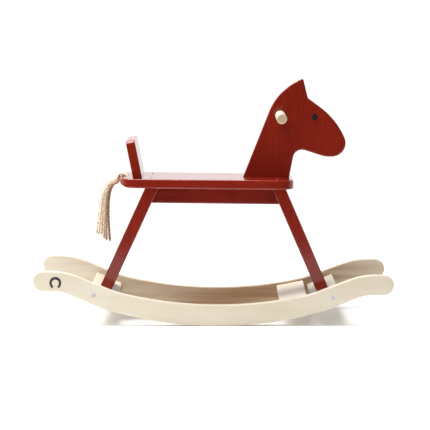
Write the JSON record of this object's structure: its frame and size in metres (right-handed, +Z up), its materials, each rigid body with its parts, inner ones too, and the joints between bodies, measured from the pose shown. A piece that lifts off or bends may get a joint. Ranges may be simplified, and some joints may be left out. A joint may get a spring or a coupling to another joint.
{
  "type": "rocking horse",
  "caption": "Toy rocking horse: lacquered head, seat, backrest and splayed legs on two curved wooden rockers, with a hand grip, footrest and cotton tail.",
  "frame": {"origin": "on the floor, under the middle of the horse at rest", "axes": "+X towards the nose, +Y to the horse's left, +Z up"},
  "size_m": [0.7004, 0.3, 0.474],
  "materials": {
    "painted_board": "solid board with semi-gloss red lacquer",
    "clear_wood": "pale wood, clear satin lacquer",
    "zinc": "zinc plated",
    "hidden_steel": "yellow passivated steel",
    "pin_wood": "plain beech pin",
    "black_paint": "satin black paint",
    "cotton": "undyed twisted cotton"
  },
  "bodies": {
    "root": {"rocker_left": "clear_wood", "rocker_right": "clear_wood", "front_crossbar": "clear_wood", "rear_crossbar": "clear_wood", "footrest": "clear_wood", "front_leg": "painted_board", "rear_leg": "painted_board", "seat_rail": "painted_board", "seat": "painted_board", "backrest": "painted_board", "head": "painted_board", "handle": "clear_wood", "eyes": "black_paint", "rocker_bolts": "zinc", "barrel_nuts": "zinc", "rocker_dowels": "pin_wood", "footrest_dowels": "pin_wood", "rail_dowels": "pin_wood", "seat_screws": "hidden_steel", "leg_screws": "hidden_steel", "head_screws": "hidden_steel", "backrest_screws": "hidden_steel", "tail_strand_1": "cotton", "tail_strand_2": "cotton", "tail_strand_3": "cotton", "tail_strand_4": "cotton", "tail_strand_5": "cotton", "tail_strand_6": "cotton"}
  },
  "joints": []
}
